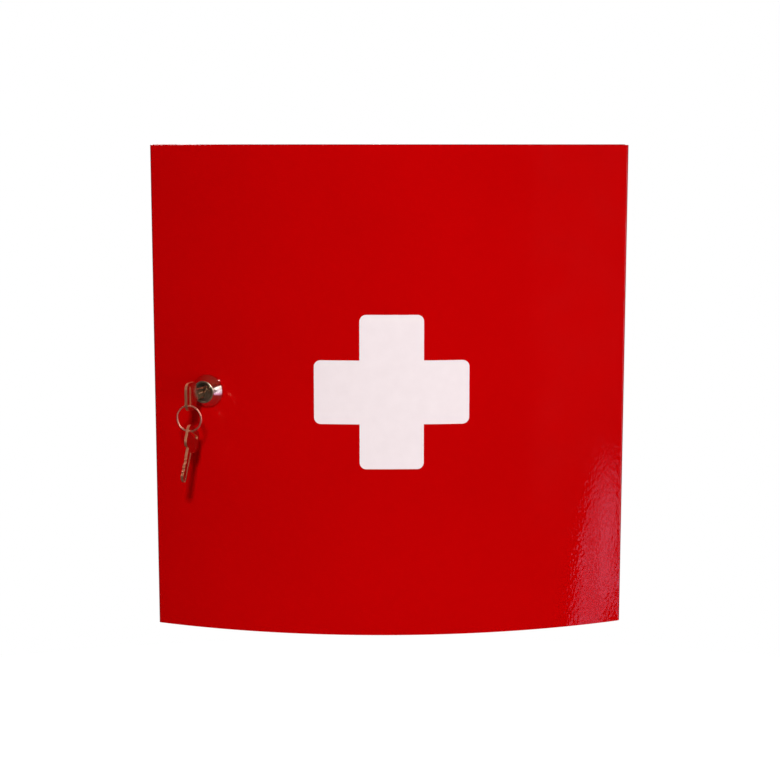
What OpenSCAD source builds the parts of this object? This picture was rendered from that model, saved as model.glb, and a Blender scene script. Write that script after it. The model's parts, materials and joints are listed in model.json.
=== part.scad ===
// Lockable medicine cabinet: a folded sheet-steel body with two shelves, a bowed overlay
// door on two concealed hooked hinges, a cam lock in the door, a key in the lock and a
// spare key hanging from it on a split ring.
// Millimetres. The back lies in the plane y = 0, the user stands at -y, +z is up and the
// origin is the middle of the four wall holes.

/* [Cabinet] */
// Width of the body and of the door
cabinet_w = 360; // [320:5:420]
// Height of the body
cabinet_h = 370; // [340:5:440]
// Depth from the wall to the crown of the door
cabinet_d = 150; // [135:1:180]
// How far the middle of the door stands in front of its sides
crown = 38; // [30:1:46]
// Thickness of the sheet steel
sheet = 1; // [0.8:0.1:1.2]
// Outer radius of the folds
fold_r = 2; // [1.6:0.1:3]
// Width of the body's two front jambs
jamb_w = 18; // [16:1:22]
// Depth of the skirt folded round the top and bottom panels
skirt_h = 15; // [14:1:20]
// Play between sheets that are spot-welded together
weld_play = 0.1; // [0.05:0.05:0.2]

/* [Wall holes] */
// Diameter of the four wall holes
wall_hole_d = 7; // [5:0.5:9]
// Distance between the wall holes across
wall_hole_w = 280; // [200:5:290]
// Distance between the wall holes up and down
wall_hole_h = 280; // [180:5:290]

/* [Shelves] */
// Height of each shelf above or below the middle
shelf_rise = 61; // [45:1:80]
// Depth of a shelf
shelf_d = 84; // [60:1:88]
// Height of the lips along a shelf's front and back
shelf_lip = 12; // [8:1:20]
// Width of both legs of the rails that carry the shelves
rail_leg = 12; // [9:1:15]
// Diameter of the rivets' shanks
rivet_d = 3.2; // [2.4:0.2:4]

/* [Door] */
// Depth of the flange folded back along each side of the door
door_side = 14; // [13:1:20]
// Outer radius of the fold between the bowed face and the side flanges
door_fold_r = 2.5; // [2:0.1:4]
// Clearance above and below the door
door_clear = 0.5; // [0.3:0.1:1]
// Height of the flange folded along the back edge of each end cap
cap_flange = 12; // [10:1:14]
// Height of the welding flange along the arc of each end cap
cap_rim = 8; // [5:1:12]
// Diameter of the rubber bumpers that the door closes on
bumper_d = 9; // [6:0.5:10]

/* [Cross] */
// Height and width of the cross on the door
cross_size = 116; // [80:1:160]
// Width of its arms
cross_arm = 48; // [30:1:60]
// Radius of its outer corners
cross_corner = 5; // [2:0.5:10]
// Thickness of the cross
cross_t = 0.3; // [0.2:0.1:0.8]
// Height of its centre above the middle of the cabinet
cross_up = 1.9; // [-20:0.1:20]
// How far its centre lies to the right of the middle
cross_right = 0.8; // [-5:0.1:5]

/* [Hinges] */
// Distance from the door's side to the hinge axis
pivot_in = 6; // [5.8:0.1:6.6]
// Distance from the door's back edge forward to the hinge axis
pivot_fore = 10; // [9:0.1:10.5]
// Diameter of the hinge pins
pin_d = 5; // [4:0.1:5.2]
// Wall of the bushes that the pins turn in
bush_wall = 1; // [0.8:0.1:1.1]
// Radial running clearance of the pins and of the lock's plug
running = 0.05; // [0.03:0.01:0.08]
// Gap between the door's swinging corner and the body
door_play = 0.55; // [0.4:0.05:1]
// Thickness of the hinge brackets and of the plates welded under the caps
bracket_t = 2; // [1.5:0.1:2.5]
// Width of the bracket's arm
arm_w = 7; // [6:0.5:8]
// How far the bracket's arm dips forward round the door's side flange
hook_dip = 4.5; // [3.5:0.5:6]
// Width of the bracket's foot
foot_w = 19; // [16:1:24]

/* [Lock] */
// Distance from the door's side to the lock
lock_in = 42.5; // [40:0.5:46]
// Height of the lock above the middle of the cabinet
lock_up = 0.8; // [-30:0.1:30]
// Diameter of the lock's bezel where it meets the door
bezel_d = 24.6; // [23:0.2:27]
// Diameter of the bezel's face
bezel_face_d = 17.6; // [16:0.2:20]
// Height of the bezel
bezel_h = 10; // [8:0.5:12]
// Diameter of the threaded barrel
barrel_d = 18.8; // [18:0.2:19.4]
// Width across the barrel's two flats
barrel_flats = 16.4; // [16:0.2:17]
// Length of the barrel behind the bezel
barrel_len = 20; // [18:0.5:22]
// Diameter of the plug that the key turns
plug_d = 12.5; // [12:0.1:13]
// Width across the hexagon nut
nut_w = 24; // [22:1:27]
// Thickness of the nut
nut_t = 4.5; // [3:0.5:6]
// Distance from the lock's axis to the cam's tip
cam_reach = 42; // [40:0.5:43]
// Width of the cam
cam_w = 12; // [10:0.5:14]
// Thickness of the cam
cam_t = 2; // [1.5:0.1:2.5]
// How far the cam's tip is cranked back
cam_crank = 4; // [3.5:0.1:5]

/* [Keys] */
// How far the end of the key stands out from the door
key_out = 41.5; // [38:0.5:44]
// Length of the key's bow
bow_len = 17.5; // [16:0.5:20]
// Width of the bow
bow_w = 20.6; // [19:0.2:22]
// Length of the blade
blade_len = 25; // [23:0.5:27]
// Width of the blade
blade_w = 8; // [7:0.1:8.2]
// Thickness of the key
key_t = 2; // [1.6:0.1:2.2]
// Length of the slot for the ring
slot_len = 15.6; // [12:0.2:16]
// Width of that slot
slot_w = 2.6; // [2.4:0.1:3]
// Metal between the slot and the end of the bow
slot_bar = 4; // [3:0.1:4.5]
// Outer diameter of the split ring
ring_d = 20.2; // [18:0.2:26]
// Width of the ring's wire, across the ring
wire_w = 1.1; // [0.9:0.1:1.2]
// Thickness of each of its two turns
wire_t = 0.8; // [0.7:0.05:0.85]
// Angle between the hanging key's blade and the vertical
spare_tilt = 30; // [15:1:35]

/* [Hidden] */
$fn = 64;
arc_fn = 256;

paint = [0.76, 0.01, 0.02];
zinc = [0.78, 0.78, 0.76];
nickel = [0.80, 0.76, 0.70];
brass = [0.80, 0.64, 0.35];

eps = 1; // overshoot of a cut past the face that it opens
drill_len = 20; // length of a drilled cut, through whatever lies there

// Door in plan: an arc across the width, two side flanges and a round fold between them
bow_r = (pow(cabinet_w / 2, 2) + crown * crown) / (2 * crown);
bow_y = bow_r - cabinet_d;
door_rear = crown + door_side - cabinet_d;
door_top = cabinet_h / 2 - door_clear;
fold_x = cabinet_w / 2 - door_fold_r;
fold_lean = asin(fold_x / (bow_r - door_fold_r));
fold_y = bow_y - (bow_r - door_fold_r) * cos(fold_lean);

// Hinge axis, and the gap that lets the door's back corner swing past the body
pivot_x = cabinet_w / 2 - pivot_in;
pivot_y = door_rear - pivot_fore;
swing_r = norm([pivot_in, pivot_fore]);
door_gap = swing_r - pivot_fore + door_play;

// Body: a wrap that forms back, sides and jambs, with a tray at the top and the bottom
body_front = door_rear + door_gap;
tray_front = body_front + sheet + weld_play;
tray_w = cabinet_w - 2 * (sheet + weld_play);
tray_d = -tray_front - sheet - weld_play;

// Hinge stack under the door's cap: plate, flange of the bush, ear of the bracket, pin head
bush_flange_t = 1;
bush_flange_r = 4.6;
ear_r = 4.2;
ear_top = door_top - sheet - bracket_t - bush_flange_t;
pin_head_t = 1.5;
pin_head_r = 3.6;
pin_short = 0.2;
foot_play = 0.3;
foot_h = 9;
hook_x = max(jamb_w - pivot_in, swing_r + foot_play) + foot_play + arm_w / 2;
foot_left = foot_w - arm_w / 2 + hook_x;
foot_rivet_in = 3.6;
foot_corner = 1.5;
hinge_pin_taper = 0.6;
plate_w = 30;
plate_d = 15;
plate_corner = 2;
plate_left = 14;
plate_fore = 8;
plate_play = 0.3;
bush_play = 0.02;
press_play = 0.01;

// Rubber bumpers, and the air left between them and the closed door
bumper_base_h = 1.2;
bumper_taper = 1.4;
bumper_up = 1;
bumper_air = 0.3;

// End caps of the door
cap_rim_end = 12;
cap_flange_gap = 3;

// Shelves
shelf_play = 1;
shelf_back = -sheet - 0.5;
rail_back = -8;
rail_len = shelf_d - 12;
rail_rivet_in = 10;
rail_rivet_out = 7.2;
rivet_play = 0.05;
rivet_head_h = 1.1;
rivet_head_r = rivet_d * 0.95;
rivet_tail_h = 0.8;

// Lock, measured outward along its axis from the door's outer face
bezel_lift = 0.05;
bezel_lip = 2.4;
bezel_rim = 0.6;
barrel_play = 0.2;
washer_front = -sheet - 0.2;
thread_play = 0.1;
washer_t = 1;
nut_front = washer_front - washer_t;
plug_head_r = plug_d / 2 + 0.65;
plug_head_t = 2;
plug_head_gap = 0.1;
plug_sink = 0.2;
keyway_spare = 1;
keyway_depth = blade_len + bow_len - key_out + bezel_h + keyway_spare;
key_play = 0.2;
wafer_pitch = 3;
wafer_count = 5;
wafer_t = 0.9;
wafer_w = 5;
wafer_play = 0.1;
wafer_first = 2.4;
tail_w = 7;
tail_play = 0.1;
tail_short = 0.2;
stop_gap = 0.05;
stop_t = 1.4;
stop_r = 7;
stop_tab_r = 8.9;
stop_tab_span = 60;
stop_slack = 1.5;
lug_play = 0.3;
lug_root = 0.5;
lock_travel = 90;
cam_front = -barrel_len - stop_t - 2 * stop_gap;
cam_boss = 1.5;
cam_bend_from = 11;
cam_bend_to = 17;
cam_bend_back = 0.8;
cam_back = cam_front - cam_t;
cam_washer_t = 1;
cam_washer_r = 6;
cam_screw_r = 2;
cam_screw_head_r = 3.6;
cam_screw_head_t = 2.8;
cam_screw_len = 9;
cam_screw_taper = 0.8;
cross_slot_w = 4.4;
cross_slot_t = 1;
cross_slot_deep = 1.2;

// Keys
bow_corner = 5;
key_nose = 3;
key_tip_w = 2.8;
blade_root = 1;
slot_end = (slot_len - slot_w) / 2;
slot_x = slot_bar + slot_w / 2;
bitting = [0.6, 1.2, 0.4, 1.0, 0.7];
bitting_flat = 1.2;
bitting_first = 5;
groove_w = 1.4;
groove_deep = 0.45;
groove_up = 1.1;
groove_from = 2;
ring_mid_r = (ring_d - wire_w) / 2;
hang_out = key_out - slot_x;
wire_notch = 0.2;

// Outer face of the door at a distance x from the middle
function skin_y(x) = bow_y - sqrt(bow_r * bow_r - x * x);

// Rectangle with round corners, from its lower left corner
module round_box(w, h, r) {
    translate([r, 0]) square([w - 2 * r, h]);
    translate([0, r]) square([w, h - 2 * r]);
    for (x = [r, w - r], y = [r, h - r])
        translate([x, y]) circle(r);
}

// Straight strip with round ends
module strip(from, to, w) {
    run = to - from;
    translate(from) rotate(atan2(run.y, run.x)) translate([0, -w / 2]) square([norm(run), w]);
    for (end = [from, to]) translate(end) circle(w / 2);
}

// Upside-down tray whose corners and top edges are folded round
module fold_block(w, d, h, r) {
    intersection() {
        linear_extrude(h) round_box(w, d, r);
        translate([0, d, -r]) rotate([90, 0, 0]) linear_extrude(d) round_box(w, h + r, r);
        translate([0, 0, -r]) rotate([90, 0, 90]) linear_extrude(w) round_box(d, h + r, r);
    }
}

module tray() {
    color(paint)
        translate([-tray_w / 2, tray_front, cabinet_h / 2 - skirt_h])
            difference() {
                fold_block(tray_w, tray_d, skirt_h, fold_r);
                translate([sheet, sheet, -eps])
                    fold_block(tray_w - 2 * sheet, tray_d - 2 * sheet, skirt_h - sheet + eps,
                        fold_r - sheet);
            }
}

// Everything that is drilled for the upper bracket's rivets
module foot_rivet_places() {
    for (x = [-foot_left + foot_rivet_in, -foot_left + foot_w - foot_rivet_in])
        translate([pivot_x + x, tray_front, ear_top - foot_h / 2 - bracket_t / 2])
            rotate([90, 0, 0]) children();
}

module rivet_hole() {
    cylinder(h = drill_len, r = rivet_d / 2 + rivet_play, center = true);
}

// Dome-headed rivet: the head sits on z = front, the closed end on z = back
module rivet(front, back) {
    dome_r = (rivet_head_r * rivet_head_r + rivet_head_h * rivet_head_h) / (2 * rivet_head_h);
    translate([0, 0, back]) cylinder(h = front - back, r = rivet_d / 2);
    translate([0, 0, front])
        intersection() {
            translate([0, 0, rivet_head_h - dome_r]) sphere(dome_r);
            cylinder(h = rivet_head_h, r = rivet_head_r);
        }
    translate([0, 0, back - rivet_tail_h])
        cylinder(h = rivet_tail_h, r1 = rivet_d * 0.6, r2 = rivet_d * 0.75);
}

// ---- Body ----

module body_wrap() {
    color(paint)
        difference() {
            translate([0, 0, -cabinet_h / 2])
                linear_extrude(cabinet_h)
                    difference() {
                        translate([-cabinet_w / 2, body_front])
                            round_box(cabinet_w, -body_front, fold_r);
                        translate([-cabinet_w / 2 + sheet, body_front + sheet])
                            round_box(cabinet_w - 2 * sheet, -body_front - 2 * sheet,
                                fold_r - sheet);
                        translate([-cabinet_w / 2 + jamb_w, body_front - eps])
                            square([cabinet_w - 2 * jamb_w, sheet + 2 * eps]);
                    }
            for (x = [-wall_hole_w / 2, wall_hole_w / 2], z = [-wall_hole_h / 2, wall_hole_h / 2])
                translate([x, 0, z]) rotate([90, 0, 0])
                    cylinder(h = 4 * sheet, r = wall_hole_d / 2, center = true);
        }
}

module top_panel() {
    difference() {
        tray();
        foot_rivet_places() rivet_hole();
    }
}

module bottom_panel() {
    mirror([0, 0, 1]) top_panel();
}

// ---- Shelves ----

// One drilling for each shelf rivet, at the top of the rail
module shelf_rivet_places(rise) {
    for (side = [-1, 1], y = [rail_back - rail_rivet_in, rail_back - rail_len + rail_rivet_in])
        translate([side * (cabinet_w / 2 - sheet - rail_rivet_out), y, rise])
            children();
}

module shelf_rails() {
    color(paint)
        for (rise = [-shelf_rise, shelf_rise])
            difference() {
                for (side = [0, 1])
                    mirror([side, 0, 0])
                        translate([cabinet_w / 2 - sheet - weld_play, rail_back, rise])
                            rotate([90, 0, 0])
                                linear_extrude(rail_len) {
                                    translate([-rail_leg, -sheet]) square([rail_leg, sheet]);
                                    translate([-sheet, -rail_leg]) square([sheet, rail_leg]);
                                }
                shelf_rivet_places(rise) rivet_hole();
            }
}

// Pan with a lip folded up along the front and the back
module shelf(rise) {
    color(paint)
        difference() {
            translate([-cabinet_w / 2 + sheet + shelf_play, shelf_back - shelf_d, rise])
                rotate([90, 0, 90])
                    linear_extrude(cabinet_w - 2 * (sheet + shelf_play))
                        difference() {
                            round_box(shelf_d, shelf_lip + fold_r, fold_r);
                            translate([sheet, sheet])
                                round_box(shelf_d - 2 * sheet, shelf_lip + fold_r, fold_r - sheet);
                            translate([-eps, shelf_lip])
                                square([shelf_d + 2 * eps, fold_r + eps]);
                        }
            shelf_rivet_places(rise) rivet_hole();
        }
}

module upper_shelf() {
    shelf(shelf_rise);
}

module lower_shelf() {
    shelf(-shelf_rise);
}

module shelf_rivets() {
    color(zinc)
        for (rise = [-shelf_rise, shelf_rise])
            shelf_rivet_places(rise) rivet(sheet, -sheet);
}

// ---- Hinges ----

// Bracket with a hooked arm: its ear carries the pin inside the door's corner, the arm
// dips round the space that the side flange swings through, and the foot is riveted
// to the front skirt of the body's tray
module hinge_bracket() {
    foot_y = tray_front - pivot_y - bracket_t;
    color(zinc)
        difference() {
            translate([pivot_x, pivot_y, ear_top]) {
                translate([0, 0, -bracket_t])
                    linear_extrude(bracket_t)
                        difference() {
                            union() {
                                circle(ear_r);
                                strip([0, 0], [-hook_x, -hook_dip], arm_w - 1);
                                translate([-hook_x, -hook_dip]) circle(arm_w / 2);
                                translate([-hook_x - arm_w / 2, -hook_dip])
                                    square([arm_w, hook_dip + foot_y + bracket_t / 2]);
                            }
                            circle(pin_d / 2 + press_play);
                        }
                // Foot and the fold that joins it to the arm
                translate([-foot_left, foot_y + bracket_t, -foot_h - bracket_t / 2])
                    rotate([90, 0, 0]) linear_extrude(bracket_t)
                        round_box(foot_w, foot_h, foot_corner);
                translate([-hook_x - arm_w / 2, foot_y, -foot_h / 2 - bracket_t])
                    rotate([90, 0, 90]) linear_extrude(arm_w)
                        difference() {
                            square([bracket_t, foot_h / 2 + bracket_t]);
                            translate([0, foot_h / 2])
                                difference() {
                                    square([bracket_t + eps, bracket_t + eps]);
                                    circle(bracket_t);
                                }
                        }
            }
            foot_rivet_places() rivet_hole();
        }
}

module upper_hinge_bracket() {
    hinge_bracket();
}

module lower_hinge_bracket() {
    mirror([0, 0, 1]) hinge_bracket();
}

module hinge_rivets() {
    color(zinc)
        for (end = [0, 1])
            mirror([0, 0, end]) foot_rivet_places() rivet(bracket_t, -sheet);
}

module hinge_pin() {
    color(zinc)
        translate([pivot_x, pivot_y, ear_top - bracket_t]) {
            translate([0, 0, -pin_head_t])
                cylinder(h = pin_head_t, r1 = pin_head_r - hinge_pin_taper, r2 = pin_head_r);
            cylinder(h = door_top - pin_short - ear_top + bracket_t, r = pin_d / 2);
        }
}

module upper_hinge_pin() {
    hinge_pin();
}

module lower_hinge_pin() {
    mirror([0, 0, 1]) hinge_pin();
}

// Plate welded under the door's cap, drilled with it for the bush
module hinge_plate() {
    color(zinc)
        translate([0, 0, door_top - sheet - bracket_t])
            linear_extrude(bracket_t)
                difference() {
                    intersection() {
                        translate([pivot_x - plate_left, pivot_y - plate_fore])
                            round_box(plate_w, plate_d, plate_corner);
                        bow_plan(sheet + plate_play, 0);
                    }
                    translate([pivot_x, pivot_y]) circle(pin_d / 2 + running + bush_wall);
                }
}

module upper_hinge_plate() {
    hinge_plate();
}

module lower_hinge_plate() {
    mirror([0, 0, 1]) hinge_plate();
}

module hinge_bush() {
    bore_r = pin_d / 2 + running;
    color("ivory")
        translate([pivot_x, pivot_y, ear_top])
            difference() {
                union() {
                    cylinder(h = bush_flange_t, r = bush_flange_r);
                    cylinder(h = door_top - ear_top, r = bore_r + bush_wall - bush_play);
                }
                translate([0, 0, -eps]) cylinder(h = drill_len, r = bore_r);
            }
}

module upper_hinge_bush() {
    hinge_bush();
}

module lower_hinge_bush() {
    mirror([0, 0, 1]) hinge_bush();
}

module door_bumpers() {
    color([0.15, 0.15, 0.15])
        for (end = [-1, 1])
            translate([-cabinet_w / 2 + jamb_w + bumper_d, tray_front,
                end * (cabinet_h / 2 - skirt_h + bumper_d / 2 + bumper_up)])
                rotate([90, 0, 0]) {
                    cylinder(h = bumper_base_h, r = bumper_d / 2);
                    translate([0, 0, bumper_base_h])
                        cylinder(h = tray_front - door_rear - bumper_base_h - bumper_air,
                            r1 = bumper_d / 2, r2 = bumper_d / 2 - bumper_taper);
                }
}

// ---- Door ----

// Plan of the door drawn in by some inset, and lengthened at the back
module bow_plan(inset, behind) {
    far = 4 * door_fold_r;
    difference() {
        intersection() {
            translate([0, bow_y]) circle(bow_r - inset, $fn = arc_fn);
            translate([inset - cabinet_w / 2, -cabinet_d - eps])
                square([cabinet_w - 2 * inset, door_rear + behind + cabinet_d + eps]);
        }
        for (side = [-1, 1])
            translate([side * fold_x, fold_y])
                difference() {
                    polygon([[0, 0], [side * far * sin(fold_lean), -far * cos(fold_lean)],
                        [side * far, -far], [side * far, 0]]);
                    circle(door_fold_r - inset);
                }
    }
}

// Frame of the lock: x along the door's face, y up, z outward, from the outer face
module at_lock() {
    lock_x = lock_in - cabinet_w / 2;
    translate([lock_x, skin_y(lock_x), lock_up])
        rotate([90, 0, asin(lock_x / bow_r)]) children();
}

// Round section with two flats
module flatted(r, flats) {
    intersection() {
        circle(r);
        square([flats, 2 * r + eps], center = true);
    }
}

module door_skin() {
    color(paint)
        difference() {
            translate([0, 0, -door_top])
                linear_extrude(2 * door_top)
                    difference() {
                        bow_plan(0, 0);
                        bow_plan(sheet, eps);
                    }
            at_lock() linear_extrude(drill_len, center = true)
                flatted(barrel_d / 2 + barrel_play, barrel_flats + 2 * barrel_play);
        }
}

// Crescent-shaped end plate with a rim along its arc and a flange along its back edge
module door_cap() {
    inset = sheet + weld_play;
    rim_w = cabinet_w - 2 * (jamb_w + cap_rim_end);
    flange_from = -cabinet_w / 2 + 2 * sheet;
    flange_to = pivot_x - foot_left - cap_flange_gap;
    color(paint)
        difference() {
            union() {
                translate([0, 0, door_top - sheet]) linear_extrude(sheet) bow_plan(inset, 0);
                translate([0, 0, door_top - cap_rim])
                    linear_extrude(cap_rim)
                        intersection() {
                            difference() {
                                bow_plan(inset, 0);
                                bow_plan(inset + sheet, eps);
                            }
                            translate([-rim_w / 2, -cabinet_d - eps])
                                square([rim_w, cabinet_d]);
                        }
                translate([flange_from, door_rear - sheet, door_top - cap_flange])
                    cube([flange_to - flange_from, sheet, cap_flange]);
            }
            translate([pivot_x, pivot_y, 0])
                cylinder(h = cabinet_h, r = pin_d / 2 + running + bush_wall);
        }
}

module door_top_cap() {
    door_cap();
}

module door_bottom_cap() {
    mirror([0, 0, 1]) door_cap();
}

// Plain equal-armed cross that follows the bow of the door
module cross_emblem() {
    color("white")
        intersection() {
            translate([0, bow_y, cross_up - cross_size])
                difference() {
                    cylinder(h = 2 * cross_size, r = bow_r + cross_t, $fn = arc_fn);
                    translate([0, 0, -eps])
                        cylinder(h = 2 * cross_size + 2 * eps, r = bow_r, $fn = arc_fn);
                }
            translate([cross_right, -cabinet_d + crown, cross_up])
                rotate([90, 0, 0])
                    linear_extrude(2 * crown) {
                        translate([-cross_size / 2, -cross_arm / 2])
                            round_box(cross_size, cross_arm, cross_corner);
                        translate([-cross_arm / 2, -cross_size / 2])
                            round_box(cross_arm, cross_size, cross_corner);
                    }
        }
}

// ---- Lock ----

// Tapered bezel, flatted barrel, and at its back a lug that stops the turning
module lock_housing() {
    bore_r = plug_d / 2 + running;
    base_r = bezel_d / 2;
    face_r = bezel_face_d / 2;
    lug_from = 270 + stop_tab_span / 2 + stop_slack;
    lug_span = 360 - stop_tab_span - lock_travel - 2 * stop_slack;
    color(nickel)
        at_lock() {
            translate([0, 0, bezel_lift])
                rotate_extrude()
                    polygon([[bore_r, 0], [base_r, 0], [base_r, bezel_lip],
                        [face_r, bezel_h - bezel_rim], [face_r - bezel_rim, bezel_h],
                        [plug_head_r + running, bezel_h],
                        [plug_head_r + running, bezel_h - plug_head_t],
                        [bore_r, bezel_h - plug_head_t]]);
            translate([0, 0, -barrel_len])
                linear_extrude(barrel_len + bezel_lift)
                    difference() {
                        flatted(barrel_d / 2, barrel_flats);
                        circle(bore_r);
                    }
            translate([0, 0, -barrel_len - stop_t])
                rotate(lug_from)
                    rotate_extrude(angle = lug_span)
                        translate([stop_r + lug_play, 0])
                            square([barrel_flats / 2 - stop_r - lug_play, stop_t + lug_root]);
        }
}

module lock_washer() {
    color(zinc)
        at_lock() translate([0, 0, nut_front])
            linear_extrude(washer_t)
                difference() {
                    circle(nut_w / 2);
                    circle(barrel_d / 2 + thread_play);
                }
}

module lock_nut() {
    nut_r = nut_w / 2 / cos(30);
    color(zinc)
        at_lock() translate([0, 0, nut_front - nut_t])
            difference() {
                intersection() {
                    cylinder(h = nut_t, r = nut_r, $fn = 6);
                    cylinder(h = nut_t, r1 = nut_w / 2, r2 = nut_w / 2 + nut_t);
                }
                translate([0, 0, -eps]) cylinder(h = nut_t + 2 * eps, r = barrel_d / 2 + press_play);
            }
}

// Turning plug with its keyway, the slots of the wafers and a square tail
module lock_plug() {
    face = bezel_h + bezel_lift;
    color(brass)
        at_lock()
            difference() {
                union() {
                    translate([0, 0, face - plug_head_t + plug_head_gap])
                        cylinder(h = plug_head_t - plug_head_gap - plug_sink, r = plug_head_r);
                    translate([0, 0, -barrel_len])
                        cylinder(h = barrel_len + face - plug_head_t / 2, r = plug_d / 2);
                    translate([-tail_w / 2, -tail_w / 2, cam_back + tail_short])
                        cube([tail_w, tail_w, -barrel_len - cam_back]);
                }
                translate([-key_t / 2 - key_play, -blade_w / 2 - key_play, face - keyway_depth])
                    cube([key_t + 2 * key_play, blade_w + 2 * key_play, keyway_depth + eps]);
                wafer_places()
                    cube([wafer_w + 2 * wafer_play, plug_d + eps, wafer_t + wafer_play], center = true);
                translate([0, 0, cam_back - eps])
                    cylinder(h = cam_screw_len + eps, r = cam_screw_r + rivet_play);
            }
}

module wafer_places() {
    for (i = [0 : wafer_count - 1])
        translate([0, 0, bezel_h - plug_head_t - wafer_first - i * wafer_pitch]) children();
}

module lock_wafers() {
    color(brass)
        at_lock() wafer_places()
            linear_extrude(wafer_t, center = true)
                difference() {
                    intersection() {
                        circle(plug_d / 2 - wafer_play);
                        square([wafer_w, plug_d], center = true);
                    }
                    square([key_t + 2 * key_play, blade_w + 2 * key_play], center = true);
                }
}

// Washer on the plug's square tail, whose tab runs between the ends of the lug
module stop_washer() {
    color(zinc)
        at_lock() translate([0, 0, -barrel_len - stop_gap - stop_t])
            linear_extrude(stop_t)
                difference() {
                    union() {
                        circle(stop_r);
                        intersection() {
                            circle(stop_tab_r);
                            polygon([[0, 0], for (a = [-1, -0.5, 0, 0.5, 1])
                                2 * stop_tab_r * [sin(a * stop_tab_span / 2),
                                    -cos(a * stop_tab_span / 2)]]);
                        }
                    }
                    square(tail_w + 2 * tail_play, center = true);
                }
}

// Cranked cam, hanging down while the cabinet is unlocked
module cam_lever() {
    color(zinc)
        at_lock()
            intersection() {
                translate([0, 0, cam_back - cam_crank - eps])
                    linear_extrude(cam_t + cam_crank + 2 * eps)
                        difference() {
                            union() {
                                circle(cam_w / 2 + cam_boss);
                                strip([0, 0], [0, cam_w / 2 - cam_reach], cam_w);
                            }
                            square(tail_w + 2 * tail_play, center = true);
                        }
                rotate([90, 0, 90])
                    linear_extrude(2 * cam_w, center = true)
                        polygon([[cam_w, cam_back], [cam_w, cam_front],
                            [-cam_bend_from, cam_front], [-cam_bend_to, cam_front - cam_crank],
                            [-cam_reach - eps, cam_front - cam_crank],
                            [-cam_reach - eps, cam_back - cam_crank],
                            [-cam_bend_to - cam_bend_back, cam_back - cam_crank],
                            [-cam_bend_from - cam_bend_back, cam_back]]);
            }
}

module cam_washer() {
    color(zinc)
        at_lock() translate([0, 0, cam_back - cam_washer_t])
            linear_extrude(cam_washer_t)
                difference() {
                    circle(cam_washer_r);
                    circle(cam_screw_r + thread_play);
                }
}

module cam_screw() {
    seat = cam_back - cam_washer_t;
    color(zinc)
        at_lock()
            difference() {
                union() {
                    translate([0, 0, seat]) cylinder(h = cam_screw_len, r = cam_screw_r);
                    translate([0, 0, seat - cam_screw_head_t])
                        cylinder(h = cam_screw_head_t, r1 = cam_screw_head_r - cam_screw_taper,
                            r2 = cam_screw_head_r);
                }
                for (turn = [0, 90])
                    rotate(turn) translate([0, 0, seat - cam_screw_head_t])
                        cube([cross_slot_w, cross_slot_t, 2 * cross_slot_deep], center = true);
            }
}

// ---- Keys ----

// Key that lies flat: its bow ends at x = 0 and its blade points along +x
module key_blank() {
    tip = bow_len + blade_len;
    half = blade_w / 2;
    difference() {
        linear_extrude(key_t, center = true)
            difference() {
                union() {
                    translate([0, -bow_w / 2]) round_box(bow_len, bow_w, bow_corner);
                    polygon([[bow_len - blade_root, -half], [tip - key_nose, -half],
                        [tip, -key_tip_w / 2], [tip, key_tip_w / 2], [tip - key_nose, half],
                        [bow_len - blade_root, half]]);
                }
                translate([slot_x, 0]) strip([0, -slot_end], [0, slot_end], slot_w);
                for (i = [0 : len(bitting) - 1], edge = [-1, 1])
                    translate([tip - bitting_first - i * wafer_pitch, edge * half])
                        scale([1, edge]) bitting_cut(edge > 0 ? bitting[i]
                            : bitting[len(bitting) - 1 - i]);
            }
        for (face = [-1, 1])
            translate([bow_len + groove_from, face * groove_up - groove_w / 2,
                face * key_t / 2 - groove_deep])
                cube([blade_len, groove_w, 2 * groove_deep]);
    }
}

// Notch of a given depth in the edge of the blade
module bitting_cut(deep) {
    polygon([[-bitting_flat / 2, -deep], [bitting_flat / 2, -deep],
        [bitting_flat / 2 + deep + eps, eps], [-bitting_flat / 2 - deep - eps, eps]]);
}

module key() {
    color(nickel)
        at_lock() translate([0, 0, key_out]) rotate([0, 90, 0]) key_blank();
}

// Two turns of flat wire, with the joint between them as a shallow groove
module key_ring() {
    color(nickel)
        at_lock() translate([0, -slot_end - ring_mid_r, hang_out])
            rotate_extrude()
                translate([ring_mid_r, 0])
                    polygon([[-wire_w / 2, -wire_t], [wire_w / 2, -wire_t],
                        [wire_w / 2, -wire_notch / 2], [wire_w / 2 - wire_notch, 0],
                        [wire_w / 2, wire_notch / 2], [wire_w / 2, wire_t],
                        [-wire_w / 2, wire_t], [-wire_w / 2, wire_notch / 2],
                        [-wire_w / 2 + wire_notch, 0], [-wire_w / 2, -wire_notch / 2]]);
}

module spare_key() {
    color(nickel)
        at_lock() translate([0, -slot_end - 2 * ring_mid_r, hang_out])
            rotate([-90 - spare_tilt, 0, 0]) rotate([0, 90, 0])
                translate([-slot_x, slot_end, 0]) key_blank();
}

body_wrap();
top_panel();
bottom_panel();
shelf_rails();
upper_shelf();
lower_shelf();
shelf_rivets();
upper_hinge_bracket();
lower_hinge_bracket();
hinge_rivets();
upper_hinge_pin();
lower_hinge_pin();
door_bumpers();
door_skin();
door_top_cap();
door_bottom_cap();
upper_hinge_plate();
lower_hinge_plate();
upper_hinge_bush();
lower_hinge_bush();
cross_emblem();
lock_housing();
lock_washer();
lock_nut();
lock_plug();
lock_wafers();
stop_washer();
cam_lever();
cam_washer();
cam_screw();
key();
key_ring();
spare_key();
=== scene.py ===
import json
from math import asin, atan2, cos, degrees, pi, radians, sqrt

import bmesh
import bpy
from mathutils import Matrix, Vector

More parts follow.
